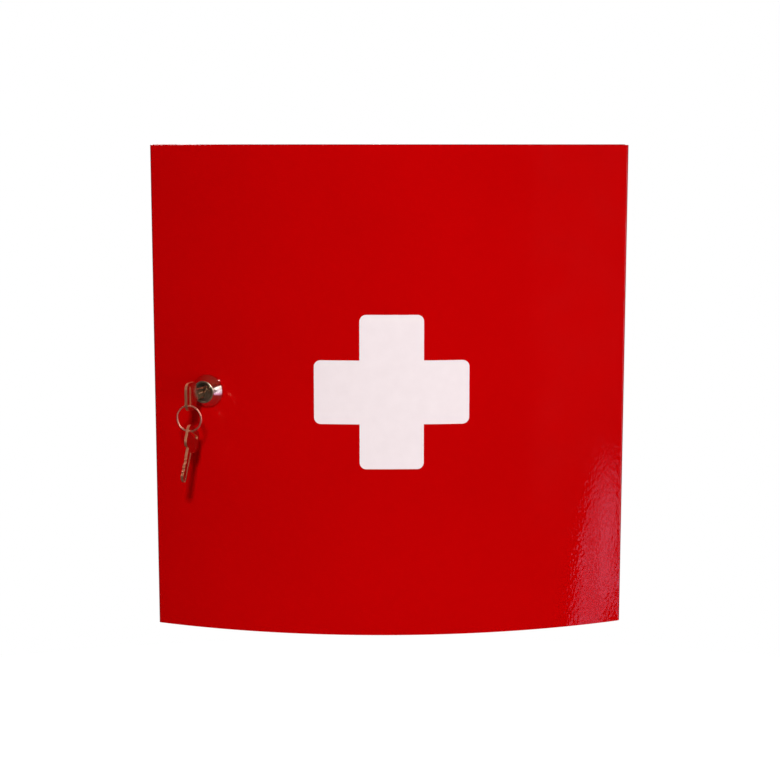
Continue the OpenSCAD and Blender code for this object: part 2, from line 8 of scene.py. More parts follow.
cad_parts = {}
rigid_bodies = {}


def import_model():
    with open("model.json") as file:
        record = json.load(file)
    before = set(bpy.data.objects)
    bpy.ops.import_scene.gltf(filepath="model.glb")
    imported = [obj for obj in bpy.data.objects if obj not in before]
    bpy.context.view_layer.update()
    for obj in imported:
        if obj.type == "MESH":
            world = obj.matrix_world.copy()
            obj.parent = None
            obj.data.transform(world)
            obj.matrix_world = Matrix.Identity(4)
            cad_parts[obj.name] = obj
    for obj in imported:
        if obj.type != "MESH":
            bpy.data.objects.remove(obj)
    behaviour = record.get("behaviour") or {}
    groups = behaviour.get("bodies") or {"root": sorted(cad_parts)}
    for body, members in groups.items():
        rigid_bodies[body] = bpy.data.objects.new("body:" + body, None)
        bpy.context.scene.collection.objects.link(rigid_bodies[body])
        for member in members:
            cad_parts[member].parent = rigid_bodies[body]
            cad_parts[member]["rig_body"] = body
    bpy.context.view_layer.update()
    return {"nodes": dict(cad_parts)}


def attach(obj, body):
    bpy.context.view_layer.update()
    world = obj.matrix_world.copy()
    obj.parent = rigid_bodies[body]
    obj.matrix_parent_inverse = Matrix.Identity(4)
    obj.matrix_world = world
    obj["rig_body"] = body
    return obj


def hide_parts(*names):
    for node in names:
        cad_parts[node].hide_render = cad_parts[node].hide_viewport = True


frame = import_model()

scene = bpy.context.scene
scene.view_settings.view_transform = "Standard"
mm = 0.001
mergeGap = 0.002 * mm      # points nearer than this become one
cadNodes = frame["nodes"]
bodyOf = {name: node["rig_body"] for name, node in cadNodes.items()}
print("frame loaded:", len(cadNodes), "nodes")


cameraView = {
    "place": (-0.0190, -1.3692, 0.1781), "tilt": 81.85, "turn": -0.87,
    "lens": 76.3, "sensor": 36, "near": 0.02, "far": 60,
}

cameraData = bpy.data.cameras.new("photo_camera")
cameraData.lens = cameraView["lens"]
cameraData.sensor_width = cameraView["sensor"]
cameraData.clip_start = cameraView["near"]
cameraData.clip_end = cameraView["far"]
camera = bpy.data.objects.new("photo_camera", cameraData)
camera.location = cameraView["place"]
camera.rotation_euler = (radians(cameraView["tilt"]), 0, radians(cameraView["turn"]))
scene.collection.objects.link(camera)
scene.camera = camera


warmLight, coolLight = (1.0, 0.975, 0.95), (0.97, 0.985, 1.0)
lamps = {      # watts, and whether the lamp itself shows in reflections
    "key_light": {"place": (-0.075, -3.13, 1.37), "aim": (0, -0.1, 0), "size": 0.28,
                  "watts": 78, "tint": warmLight, "mirrored": True},
    "fill_light": {"place": (1.50, -1.45, -0.05), "aim": (0, -0.1, 0), "size": 0.9,
                   "watts": 12, "tint": coolLight, "mirrored": False},
    "rim_light": {"place": (-0.9, 1.7, 1.5), "aim": (0, -0.05, 0), "size": 1.2,
                  "watts": 36, "tint": warmLight, "mirrored": True},
}


def softbox(name, place, aim, size, watts, tint, mirrored):
    lamp = bpy.data.lights.new(name, "AREA")
    lamp.shape = "RECTANGLE"
    lamp.size = lamp.size_y = size
    lamp.energy = watts
    lamp.color = tint
    box = bpy.data.objects.new(name, lamp)
    box.location = place
    box.rotation_euler = (Vector(aim) - Vector(place)).to_track_quat("-Z", "Y").to_euler()
    scene.collection.objects.link(box)
    box.visible_glossy = mirrored


for name, values in lamps.items():
    softbox(name, **values)


# a shader node; its inputs are given by name, or by their place as i0, i1 and so on
def node(tree, kind, settings=None, **inputs):
    made = tree.nodes.new("ShaderNode" + kind)
    for key, value in (settings or {}).items():
        setattr(made, key, value)
    for key, value in inputs.items():
        byPlace = key[1:].isdigit()
        socket = made.inputs[int(key[1:]) if byPlace else key.replace("_", " ")]
        if isinstance(value, bpy.types.NodeSocket):
            tree.links.new(value, socket)
        else:
            socket.default_value = value
    return made


def ramp(tree, factor, stops, smooth=False):
    made = node(tree, "ValToRGB")
    made.color_ramp.interpolation = "EASE" if smooth else "LINEAR"
    elements = made.color_ramp.elements
    while len(elements) < len(stops):
        elements.new(0.5)
    for element, (place, grey) in zip(elements, stops):
        element.position = place
        element.color = (grey, grey, grey, 1)
    tree.links.new(factor, made.inputs["Fac"])
    return made.outputs["Color"]


def noise(tree, place, scale, detail=2.0, rough=0.5, stretch=None):
    if stretch:
        place = node(tree, "Mapping", Vector=place, Scale=stretch).outputs[0]
    made = node(tree, "TexNoise", Vector=place, Scale=scale, Detail=detail, Roughness=rough)
    return made.outputs[0]


# maps the middle part of a noise, or the given range, to low..high
def ranged(tree, value, low, high, fromLow=0.3, fromHigh=0.7):
    made = node(tree, "MapRange", i0=value, i1=fromLow, i2=fromHigh, i3=low, i4=high)
    return made.outputs[0]


def smoothStep(tree, value, start, end, low=0.0, high=1.0):
    made = node(tree, "MapRange", {"interpolation_type": "SMOOTHSTEP"},
                i0=value, i1=start, i2=end, i3=low, i4=high)
    return made.outputs[0]


# the room is dark in front of the door and pale behind it, as its paint shows, with a
# brown ceiling; the camera sees white, and the ambient light reaches matt surfaces only
room = {
    "frontDark": (0.30, 0.004), "sidePale": (0.52, 0.05), "backPale": (0.80, 0.10),
    "ceiling": (0.15, 0.09, 0.065), "ceilingFrom": 0.42, "ceilingFull": 0.80,
    "ambient": 0.05, "ambientTint": (0.97, 0.98, 1.0),
}

world = bpy.data.worlds.new("room")
scene.world = world
world.use_nodes = True
tree = world.node_tree
tree.nodes.clear()
heading = node(tree, "SeparateXYZ", i0=node(tree, "TexCoord").outputs["Generated"])
wallTone = ramp(tree, ranged(tree, heading.outputs["Y"], 0.0, 1.0, -1.0, 1.0),
                [room["frontDark"], room["sidePale"], room["backPale"]], smooth=True)
above = smoothStep(tree, heading.outputs["Z"], room["ceilingFrom"], room["ceilingFull"])
rays = node(tree, "LightPath").outputs
seen = node(tree, "Background", i0=(1, 1, 1, 1), i1=1.0)
overhead = node(tree, "Mix", {"data_type": "RGBA"}, i0=above, i6=wallTone,
                i7=(*room["ceiling"], 1))
mirrored = node(tree, "Background", i0=overhead.outputs[2], i1=1.0)
ambient = node(tree, "Background", i0=(*room["ambientTint"], 1), i1=room["ambient"])
shiny = node(tree, "Math", {"operation": "MAXIMUM"}, i0=rays["Is Glossy Ray"],
             i1=rays["Is Transmission Ray"])
unseen = node(tree, "MixShader", i0=shiny.outputs[0], i1=ambient.outputs[0],
              i2=mirrored.outputs[0])
both = node(tree, "MixShader", i0=rays["Is Camera Ray"], i1=unseen.outputs[0],
            i2=seen.outputs[0])
node(tree, "OutputWorld", i0=both.outputs[0])


def emptyMaterial(name):
    material = bpy.data.materials.new(name)
    material.use_nodes = True
    tree = material.node_tree
    tree.nodes.clear()
    return material, tree, node(tree, "TexCoord").outputs["Object"]


def stagePiece(name, bm, material):
    mesh = bpy.data.meshes.new(name)
    bm.to_mesh(mesh)
    bm.free()
    mesh.materials.append(material)
    made = bpy.data.objects.new(name, mesh)
    scene.collection.objects.link(made)
    return made


floor = {      # its glow fades out to the white that the camera sees round it
    "drop": 1.25, "radius": 3.4, "sides": 128, "glow": [(0.35, 0.62), (0.93, 1.0)],
    "tone": 0.80, "mirroredTone": 0.10,
}


def floorFinish():
    material, tree, place = emptyMaterial("pale_floor")
    reach = node(tree, "VectorMath", {"operation": "LENGTH"}, i0=place).outputs["Value"]
    fade = ramp(tree, ranged(tree, reach, 0.0, 1.0, 0.0, floor["radius"]), floor["glow"],
                smooth=True)
    glow = node(tree, "Math", {"operation": "MULTIPLY"}, i0=fade,
                i1=node(tree, "LightPath").outputs["Is Camera Ray"])
    tone = ramp(tree, node(tree, "LightPath").outputs["Is Glossy Ray"],
                [(0.0, floor["tone"]), (1.0, floor["mirroredTone"])])
    pale = node(tree, "BsdfDiffuse", i0=tone)
    lit = node(tree, "Emission", i0=(1, 1, 1, 1), i1=glow.outputs[0])
    total = node(tree, "AddShader", i0=pale.outputs[0], i1=lit.outputs[0])
    node(tree, "OutputMaterial", i0=total.outputs[0])
    return material


bm = bmesh.new()
bmesh.ops.create_circle(bm, cap_ends=True, segments=floor["sides"], radius=floor["radius"],
                        matrix=Matrix.Translation((0, 0, -floor["drop"])))
stagePiece("floor", bm, floorFinish())

# bright cards at the right, which only reflections see; each fades out upwards over
# "fade", and its brightness varies by a noise of size "cell"
cards = {
    "window_low": {
        "corners": [(1.93, -1.27, -0.35), (1.78, -1.46, -0.42), (1.69, -1.57, -0.62),
                    (1.58, -1.71, -0.95), (1.70, -1.56, -0.95), (1.835, -1.388, -0.79),
                    (1.915, -1.286, -0.70)],
        "colour": (0.98, 0.50, 0.78), "strength": 1.52, "fade": (-0.62, -0.40), "cell": 11,
    },
    "window_side": {
        "corners": [(5.23, -1.55, -1.36), (4.46, -2.54, -1.36), (4.46, -2.54, 0.57),
                    (5.23, -1.55, 0.57)],
        "colour": (0.88, 0.88, 1.08), "strength": 3.4, "fade": (0.58, 0.59), "cell": 1,
    },
    "window_foot": {
        "corners": [(2.30, -0.78, -1.20), (1.95, -1.233, -1.20), (1.95, -1.233, -0.62),
                    (2.30, -0.78, -0.62)],
        "colour": (1.0, 0.66, 1.10), "strength": 1.7, "fade": (-0.2, -0.1), "cell": 2,
    },
    "window_high": {
        "corners": [(2.40, -0.45, 0.30), (1.15, -2.20, 0.30), (1.15, -2.20, 0.95),
                    (2.40, -0.45, 0.95)],
        "colour": (1.0, 0.96, 0.95), "strength": 3.6, "fade": (0.94, 0.95), "cell": 2,
    },
}
cardView = {"detail": 5, "rough": 0.7, "dimmest": 0.3, "brightest": 1.25, "from": 0.41,
            "to": 0.54}


def cardFinish(name, card):
    material, tree, place = emptyMaterial(name)
    up = node(tree, "SeparateXYZ", i0=place).outputs["Z"]
    view = ranged(tree, noise(tree, place, card["cell"], cardView["detail"], cardView["rough"]),
                  card["strength"] * cardView["dimmest"],
                  card["strength"] * cardView["brightest"], cardView["from"], cardView["to"])
    fade = smoothStep(tree, up, *card["fade"], 1.0, 0.0)
    level = node(tree, "Math", {"operation": "MULTIPLY"}, i0=fade, i1=view)
    light = node(tree, "Emission", i0=(*card["colour"], 1), i1=level.outputs[0])
    node(tree, "OutputMaterial", i0=light.outputs[0])
    return material


for name, card in cards.items():
    bm = bmesh.new()
    bm.faces.new([bm.verts.new(corner) for corner in card["corners"]])
    glare = stagePiece(name, bm, cardFinish(name, card))
    glare.visible_camera = glare.visible_diffuse = glare.visible_shadow = False
print("camera, lights and stage made")


def finishTree(name):
    material, tree, place = emptyMaterial(name)
    shader = node(tree, "BsdfPrincipled")
    node(tree, "OutputMaterial", i0=shader.outputs[0])
    return material, tree, shader, place


def bump(tree, height, depth, under=None):
    made = node(tree, "Bump", Height=height, Distance=depth, Strength=1.0)
    if under:
        tree.links.new(under, made.inputs["Normal"])
    return made.outputs[0]


def mixed(tree, factor, a, b):
    made = node(tree, "Mix", {"data_type": "RGBA"})
    for place, value in ((0, factor), (6, a), (7, b)):
        if isinstance(value, bpy.types.NodeSocket):
            tree.links.new(value, made.inputs[place])
        else:
            made.inputs[place].default_value = (*value, 1)
    return made.outputs[2]


redPaint = {      # cells are noise scales, so a larger number is a finer pattern
    "colour": (0.530, 0.0002, 0.0008), "shade": (0.500, 0.0002, 0.0007), "cloudCell": 9,
    "edge": (0.33, 0.0002, 0.0005), "edgeCell": 260,
    "speck": (0.28, 0.0003, 0.0008), "speckCell": 1300, "speckShare": 0.10, "speckReach": 0.12,
    "gloss": (0.02, 0.045), "glossCell": 42, "ior": 1.5,
    "peelCell": 500, "peelDepth": 0.08 * mm, "peelStretch": (1, 1, 0.55),
    "waveCell": 110, "waveDepth": 0.04 * mm,
}


def paintFinish(name, edge):
    material, tree, shader, place = finishTree(name)
    cloud = noise(tree, place, redPaint["cloudCell"], 3)
    colour = mixed(tree, ranged(tree, cloud, 0, 1), redPaint["shade"], redPaint["colour"])
    if edge:      # powder draws thin over a folded or cut edge
        thin = ranged(tree, noise(tree, place, redPaint["edgeCell"], 3, 0.6), 0.25, 1, 0.35, 0.6)
        colour = mixed(tree, thin, redPaint["edge"], colour)
    grains = node(tree, "TexVoronoi", Vector=place, Scale=redPaint["speckCell"])
    speck = ranged(tree, grains.outputs["Distance"], redPaint["speckShare"], 0, 0.0,
                   redPaint["speckReach"])
    tree.links.new(mixed(tree, speck, colour, redPaint["speck"]), shader.inputs["Base Color"])
    gloss = ranged(tree, noise(tree, place, redPaint["glossCell"], 4), *redPaint["gloss"])
    tree.links.new(gloss, shader.inputs["Roughness"])
    peel = noise(tree, place, redPaint["peelCell"], 1.5, 0.4, redPaint["peelStretch"])
    wave = bump(tree, noise(tree, place, redPaint["waveCell"], 2, 0.4), redPaint["waveDepth"])
    tree.links.new(bump(tree, peel, redPaint["peelDepth"], under=wave), shader.inputs["Normal"])
    shader.inputs["IOR"].default_value = redPaint["ior"]
    return material


metal = {"grainCell": 1200, "grainShare": 0.35, "depth": 0.004 * mm, "cloudCell": 60,
         "smudge": 2.3}      # smudges are this much finer than the clouds


def metalFinish(name, base, dull, rough, grain=metal["grainCell"], stretch=(1, 1, 1),
                depth=metal["depth"], cloud=metal["cloudCell"]):
    material, tree, shader, place = finishTree(name)
    cloudy = ranged(tree, noise(tree, place, cloud, 4, 0.6), 0, 1)
    streak = noise(tree, place, grain, 3, 0.6, stretch)
    colour = mixed(tree, ranged(tree, streak, 0.0, metal["grainShare"]),
                   mixed(tree, cloudy, base, dull), dull)
    tree.links.new(colour, shader.inputs["Base Color"])
    smudge = ranged(tree, noise(tree, place, cloud * metal["smudge"], 3, 0.55), *rough)
    tree.links.new(smudge, shader.inputs["Roughness"])
    tree.links.new(bump(tree, streak, depth), shader.inputs["Normal"])
    shader.inputs["Metallic"].default_value = 1.0
    return material


zinc = {
    "spangleCell": 420, "spangleShare": 0.55, "cloudCell": 90, "cloudShare": 0.5,
    "glossCell": 330, "scratchCell": 900, "scratchStretch": (1, 1, 0.12),
    "scratchDepth": 0.006 * mm,
}


def zincFinish(name, base, dull, rough):
    material, tree, shader, place = finishTree(name)
    spangle = node(tree, "TexVoronoi", Vector=place, Scale=zinc["spangleCell"]).outputs["Color"]
    tone = node(tree, "SeparateColor", i0=spangle).outputs[0]
    colour = mixed(tree, ranged(tree, tone, 0.0, zinc["spangleShare"], 0, 1), base, dull)
    cloud = noise(tree, place, zinc["cloudCell"], 4, 0.6)
    colour = mixed(tree, ranged(tree, cloud, 0.0, zinc["cloudShare"]), colour, dull)
    tree.links.new(colour, shader.inputs["Base Color"])
    gloss = ranged(tree, noise(tree, place, zinc["glossCell"], 3), *rough)
    tree.links.new(gloss, shader.inputs["Roughness"])
    scratch = noise(tree, place, zinc["scratchCell"], 3, 0.6, zinc["scratchStretch"])
    tree.links.new(bump(tree, scratch, zinc["scratchDepth"]), shader.inputs["Normal"])
    shader.inputs["Metallic"].default_value = 1.0
    return material


cloudToGrain = 0.12      # a soft finish's clouds are this much coarser than its grain


def softFinish(name, base, shade, rough, cell, depth):
    material, tree, shader, place = finishTree(name)
    cloud = ranged(tree, noise(tree, place, cell * cloudToGrain, 3), 0, 1)
    tree.links.new(mixed(tree, cloud, base, shade), shader.inputs["Base Color"])
    grain = noise(tree, place, cell, 2, 0.5)
    tree.links.new(ranged(tree, grain, *rough), shader.inputs["Roughness"])
    tree.links.new(bump(tree, grain, depth), shader.inputs["Normal"])
    return material


# each finish is a pair: the faces, and the rounded or cut edges
finishes = {
    "paint": (paintFinish("red_paint", edge=False), paintFinish("red_paint_edge", edge=True)),
    "zinc": (
        zincFinish("zinc_plate", base=(0.64, 0.66, 0.68), dull=(0.46, 0.48, 0.50),
                   rough=(0.24, 0.40)),
        metalFinish("zinc_edge", base=(0.74, 0.75, 0.76), dull=(0.60, 0.61, 0.62),
                    rough=(0.16, 0.28)),
    ),
    "nickel": (
        metalFinish("nickel_plate", base=(0.72, 0.66, 0.60), dull=(0.62, 0.55, 0.48),
                    rough=(0.05, 0.12), depth=0.001 * mm),
        metalFinish("nickel_edge", base=(0.82, 0.77, 0.70), dull=(0.74, 0.68, 0.60),
                    rough=(0.05, 0.12), depth=0.001 * mm),
    ),
    "face": (
        metalFinish("face_nickel", base=(0.74, 0.66, 0.50), dull=(0.56, 0.49, 0.36),
                    rough=(0.28, 0.36), depth=0.002 * mm),
    ) * 2,
    "key": (
        metalFinish("key_metal", base=(0.56, 0.44, 0.33), dull=(0.44, 0.33, 0.24),
                    rough=(0.13, 0.22), grain=800, stretch=(1, 1, 0.15), depth=0.001 * mm),
        metalFinish("key_edge", base=(1.0, 0.48, 0.29), dull=(0.80, 0.31, 0.17),
                    rough=(0.40, 0.52), cloud=150),
    ),
    "wire": (
        # the wire's pink is partly a warm plated metal and partly painted reflection of the red
        # door
        metalFinish("warm_ring_wire_with_painted_red_reflection", base=(1.0, 0.47, 0.36), dull=(0.94, 0.38, 0.28),
                    rough=(0.34, 0.44), depth=0.002 * mm),
    ) * 2,
    "brass": (
        # the plug is darker than bare brass, painted shade of its recess, and its rounded edges are
        # lighter, a painted highlight
        metalFinish("plug_brass_painted_recess_shade", base=(0.40, 0.33, 0.24), dull=(0.24, 0.19, 0.13),
                    rough=(0.24, 0.38), depth=0.006 * mm),
        metalFinish("plug_edge_painted_highlight", base=(0.86, 0.76, 0.60), dull=(0.72, 0.62, 0.46),
                    rough=(0.16, 0.26)),
    ),
    "film": (
        softFinish("white_film", base=(0.905, 0.80, 0.83), shade=(0.88, 0.775, 0.805),
                   rough=(0.30, 0.42), cell=900, depth=0.003 * mm),
        softFinish("white_film_edge", base=(0.74, 0.62, 0.63), shade=(0.70, 0.56, 0.58),
                   rough=(0.35, 0.5), cell=900, depth=0.003 * mm),
    ),
    "rubber": (
        softFinish("rubber", base=(0.025, 0.025, 0.026), shade=(0.04, 0.04, 0.041),
                   rough=(0.62, 0.8), cell=1500, depth=0.02 * mm),
    ) * 2,
    "nylon": (
        softFinish("nylon", base=(0.72, 0.69, 0.60), shade=(0.64, 0.60, 0.50),
                   rough=(0.38, 0.5), cell=1100, depth=0.006 * mm),
    ) * 2,
}
print("finishes made:", len(bpy.data.materials))


edgeMaking = {
    "steps": 2, "least": 28,      # degrees between faces from which an edge is rounded
    "flatWithin": 0.35,      # degrees between facets that are merged into one face
    "stampDepth": 0.9 * mm,      # faces deeper than this are a stamped piece's cut sides
}


def roundEdges(bm, width, least=edgeMaking["least"]):
    sharp = [edge for edge in bm.edges
             if len(edge.link_faces) == 2 and edge.calc_face_angle(0) > radians(least)]
    if not sharp:
        return
    made = bmesh.ops.bevel(bm, geom=sharp, offset=width, offset_type="OFFSET", affect="EDGES",
                           segments=edgeMaking["steps"], profile=0.5, material=-1,
                           clamp_overlap=True)
    for face in made["faces"]:
        face.material_index = 1


def piece(name, bm, body, finish, replaced, smoothTo=42):
    for face in bm.faces:
        face.smooth = True
    mesh = bpy.data.meshes.new(name)
    bm.to_mesh(mesh)
    bm.free()
    mesh.set_sharp_from_angle(angle=radians(smoothTo))
    for material in finishes[finish]:
        mesh.materials.append(material)
    made = bpy.data.objects.new(name, mesh)
    scene.collection.objects.link(made)
    even = made.modifiers.new("even_normals", "WEIGHTED_NORMAL")
    even.keep_sharp = True
    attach(made, body)
    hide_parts(*replaced)
    return made


def mergedCopy(nodeName):
    bm = bmesh.new()
    bm.from_mesh(cadNodes[nodeName].data)
    bmesh.ops.remove_doubles(bm, verts=bm.verts, dist=mergeGap)
    bmesh.ops.dissolve_limit(bm, angle_limit=radians(edgeMaking["flatWithin"]),
                             verts=bm.verts[:], edges=bm.edges[:], use_dissolve_boundaries=False)
    return bm


# a node's own form with its edges rounded by so many millimetres
def dressed(nodeName, finish, edge, least=edgeMaking["least"], label=None, flatAlong=None):
    bm = mergedCopy(nodeName)
    bm.normal_update()
    for face in bm.faces:
        face.material_index = 0
        if flatAlong:      # a stamped piece has its cut sides in the edge finish
            depths = [vert.co.dot(flatAlong) for vert in face.verts]
            onSide = abs(face.normal.dot(flatAlong)) < 0.5
            if onSide and max(depths) - min(depths) > edgeMaking["stampDepth"]:
                face.material_index = 1
    roundEdges(bm, edge * mm, least)
    return piece(label or nodeName + "_dressed", bm, bodyOf[nodeName], finish,
                 (nodeName,))


# a sheet folded along an outline in plan: each step is a straight run or a fold
def foldedSheet(start, steps, length, thick):
    bm = bmesh.new()
    tip = bmesh.ops.create_vert(bm, co=(start[0], start[1], 0))["vert"][0]
    for step in steps:
        if step[0] == "to":
            tip = bmesh.ops.extrude_vert_indiv(bm, verts=[tip])["verts"][0]
            tip.co = (step[1], step[2], 0)
        else:
            centre, angle, count = step[1:]
            turned = bmesh.ops.spin(bm, geom=[tip], cent=(*centre, 0), axis=(0, 0, 1),
                                    angle=radians(angle), steps=count, use_merge=False)
            tip = [part for part in turned["geom_last"]
                   if isinstance(part, bmesh.types.BMVert)][0]
    raised = bmesh.ops.extrude_edge_only(bm, edges=bm.edges[:])["geom"]
    bmesh.ops.translate(bm, vec=(0, 0, length), verts=[
        part for part in raised if isinstance(part, bmesh.types.BMVert)])
    bmesh.ops.solidify(bm, geom=bm.faces[:], thickness=thick)
    bmesh.ops.recalc_face_normals(bm, faces=bm.faces[:])
    bmesh.ops.translate(bm, verts=bm.verts, vec=(0, 0, -length / 2))
    return bm


def cutBy(bm, cutter, how="DIFFERENCE"):
    objects = []
    for label, source in (("cut_work", bm), ("cut_tool", cutter)):
        mesh = bpy.data.meshes.new(label)
        source.to_mesh(mesh)
        source.free()
        made = bpy.data.objects.new(label, mesh)
        scene.collection.objects.link(made)
        objects.append(made)
    work, tool = objects
    cut = work.modifiers.new("cut", "BOOLEAN")
    cut.object = tool
    cut.operation = how
    cut.solver = "EXACT"
    depsgraph = bpy.context.evaluated_depsgraph_get()
    done = bpy.data.meshes.new_from_object(work.evaluated_get(depsgraph))
    bm = bmesh.new()
    bm.from_mesh(done)
    for made in objects:
        bpy.data.objects.remove(made)
    bmesh.ops.remove_doubles(bm, verts=bm.verts, dist=mergeGap)
    return bm


door = {
    "width": 360 * mm, "height": 369 * mm, "bowRadius": 445.316 * mm, "bowY": 295.316 * mm,
    "rearY": -98 * mm, "foldRadius": 2.5 * mm, "sheet": 1 * mm,
    "bowSteps": 110, "foldSteps": 8, "edge": 0.28 * mm,
    "holePlay": 0.2 * mm, "holeDepth": 12 * mm, "holeSides": 64,
}
foldX = door["width"] / 2 - door["foldRadius"]
foldLean = asin(foldX / (door["bowRadius"] - door["foldRadius"]))
foldY = door["bowY"] - (door["bowRadius"] - door["foldRadius"]) * cos(foldLean)

lock = {      # heights are along the lock's axis, from the door's outer face
    "x": -137.5 * mm, "up": 0.8 * mm,
    "bezelRadius": 12.3 * mm, "faceRadius": 8.8 * mm, "height": 10 * mm, "lift": 0.05 * mm,
    "lip": 2.4 * mm, "lipDraft": 0.14 * mm, "lipBreak": (0.20 * mm, 0.02 * mm, 0.05 * mm),
    "footBreak": 0.15 * mm, "rimIn": 0.76 * mm,
    "rimRoll": [(0.16 * mm, 0.90 * mm), (0.24 * mm, 0.50 * mm), (0.44 * mm, 0.14 * mm)],
    "headRadius": 6.95 * mm, "headDepth": 2 * mm,
    "headBreak": (0.30 * mm, 0.05 * mm, 0.22 * mm),
    "bore": 6.3 * mm, "boreBreak": 0.3 * mm,
    "barrelRadius": 9.4 * mm, "barrelLength": 20 * mm, "barrelBreak": 0.8 * mm,
    "flats": 16.4 * mm, "flatsCutter": (6 * mm, 24 * mm, 25 * mm), "sides": 96,
    "pitch": 1.0 * mm, "thread": 0.42 * mm, "threadRings": 100, "threadTop": -0.5 * mm,
    "threadSkin": 0.05 * mm,
    "lugTop": -19.5 * mm, "lugEnd": -21.4 * mm, "lugRadius": (7.3 * mm, 8.2 * mm),
    "lugFrom": 301.5, "lugSpan": 207, "lugSides": 48,
    "satinDown": 0.3 * mm, "satinOut": 0.1 * mm,
}
skinY = door["bowY"] - sqrt(door["bowRadius"] ** 2 - lock["x"] ** 2)
skinTurn = asin(lock["x"] / door["bowRadius"])
atLock = (Matrix.Translation((lock["x"], skinY, lock["up"]))
          @ Matrix.Rotation(skinTurn, 4, "Z") @ Matrix.Rotation(pi / 2, 4, "X"))


def doorSkin():
    half = door["width"] / 2
    turn = 90 - degrees(foldLean)
    bm = foldedSheet((-half, door["rearY"]), [
        ("to", -half, foldY),
        ("fold", (-foldX, foldY), turn, door["foldSteps"]),
        ("fold", (0, door["bowY"]), 2 * degrees(foldLean), door["bowSteps"]),
        ("fold", (foldX, foldY), turn, door["foldSteps"]),
        ("to", half, door["rearY"]),
    ], door["height"], -door["sheet"])
    hole = bmesh.new()
    radius = lock["barrelRadius"] + door["holePlay"]
    bmesh.ops.create_cone(hole, cap_ends=True, segments=door["holeSides"], radius1=radius,
                          radius2=radius, depth=door["holeDepth"])
    for side in (-1, 1):      # the hole has the barrel's two flats
        flatX = side * (lock["flats"] / 2 + door["holePlay"])
        bmesh.ops.bisect_plane(hole, geom=hole.verts[:] + hole.edges[:] + hole.faces[:],
                               plane_co=(flatX, 0, 0), plane_no=(side, 0, 0), clear_outer=True)
        bmesh.ops.holes_fill(hole, edges=[edge for edge in hole.edges if edge.is_boundary])
    bmesh.ops.transform(hole, matrix=atLock, verts=hole.verts)
    bmesh.ops.recalc_face_normals(hole, faces=hole.faces)
    bm = cutBy(bm, hole)
    roundEdges(bm, door["edge"])
    return piece("door_skin_painted", bm, "door", "paint", ("door_skin",))


doorSkin()
for end in ("top", "bottom"):
    dressed(f"door_{end}_cap", "paint", edge=0.22)
dressed("cross_emblem", "film", edge=0.09, label="cross_film")
print("door made")


body = {
    "width": 360 * mm, "height": 370 * mm, "frontY": -95.7881 * mm, "fold": 2 * mm,
    "jamb": 18 * mm, "sheet": 1 * mm, "foldSteps": 6, "edge": 0.28 * mm,
    "holeSpan": 140 * mm, "holeRadius": 3.5 * mm, "holeDepth": 6 * mm, "holeSides": 48,
}
rivetLeast = 40      # degrees, so that a rivet's dome keeps its facets smooth


def bodyWrap():
    half, front, fold = body["width"] / 2, body["frontY"], body["fold"]
    inner = half - fold
    bm = foldedSheet((-half + body["jamb"], front), [
        ("to", -inner, front), ("fold", (-inner, front + fold), -90, body["foldSteps"]),
        ("to", -half, -fold), ("fold", (-inner, -fold), -90, body["foldSteps"]),
        ("to", inner, 0), ("fold", (inner, -fold), -90, body["foldSteps"]),
        ("to", half, front + fold), ("fold", (inner, front + fold), -90, body["foldSteps"]),
        ("to", half - body["jamb"], front),
    ], body["height"], body["sheet"])
    drills = bmesh.new()
    for x in (-1, 1):
        for z in (-1, 1):
            place = (Matrix.Translation((x * body["holeSpan"], 0, z * body["holeSpan"]))
                     @ Matrix.Rotation(pi / 2, 4, "X"))
            bmesh.ops.create_cone(drills, cap_ends=True, segments=body["holeSides"],
                                  radius1=body["holeRadius"], radius2=body["holeRadius"],
                                  depth=body["holeDepth"], matrix=place)
    bm = cutBy(bm, drills)
    roundEdges(bm, body["edge"])
    return piece("body_wrap_painted", bm, "cabinet", "paint", ("body_wrap",))


bodyWrap()
for name in ("top_panel", "bottom_panel", "upper_shelf", "lower_shelf"):
    dressed(name, "paint", edge=0.25)
dressed("shelf_rails", "paint", edge=0.2)
dressed("shelf_rivets", "zinc", edge=0.12, least=rivetLeast)
dressed("door_bumpers", "rubber", edge=0.3)
print("body made")


for end in ("upper", "lower"):
    dressed(f"{end}_hinge_bracket", "zinc", edge=0.25)
    dressed(f"{end}_hinge_pin", "zinc", edge=0.25)
    dressed(f"{end}_hinge_plate", "zinc", edge=0.2)
    dressed(f"{end}_hinge_bush", "nylon", edge=0.12)
dressed("hinge_rivets", "zinc", edge=0.12, least=rivetLeast)
print("hinges made")


# half of the housing's section, as radius and height, from the bezel's foot over its
# face, down the bore and up the barrel
def housingOutline():
    base, face, high, lift = (lock[key] for key in ("bezelRadius", "faceRadius", "height", "lift"))
    neck, lip, end = base - lock["lipDraft"], lock["lip"], -lock["barrelLength"]
    below, inward, over = lock["lipBreak"]
    headOut, headIn, headDown = lock["headBreak"]
    head, headFloor = lock["headRadius"], high - lock["headDepth"]
    outline = [(base - lock["footBreak"], lift), (base, lift + lock["footBreak"]),
               (neck, lip - below), (neck - inward, lip + over)]
    outline += [(face - inTo, high - down) for inTo, down in lock["rimRoll"]]
    outline += [(face - lock["rimIn"], high + lift), (head + headOut, high + lift),
                (head + headIn, high - headDown), (head, headFloor),
                (lock["bore"], headFloor), (lock["bore"], end + lock["boreBreak"]),
                (lock["bore"] + lock["boreBreak"], end),
                (lock["barrelRadius"] - lock["barrelBreak"], end)]
    run = lift - end - lock["barrelBreak"]
    outline += [(lock["barrelRadius"], lift - run * (1 - step / lock["threadRings"]))
                for step in range(lock["threadRings"] + 1)]
    return outline


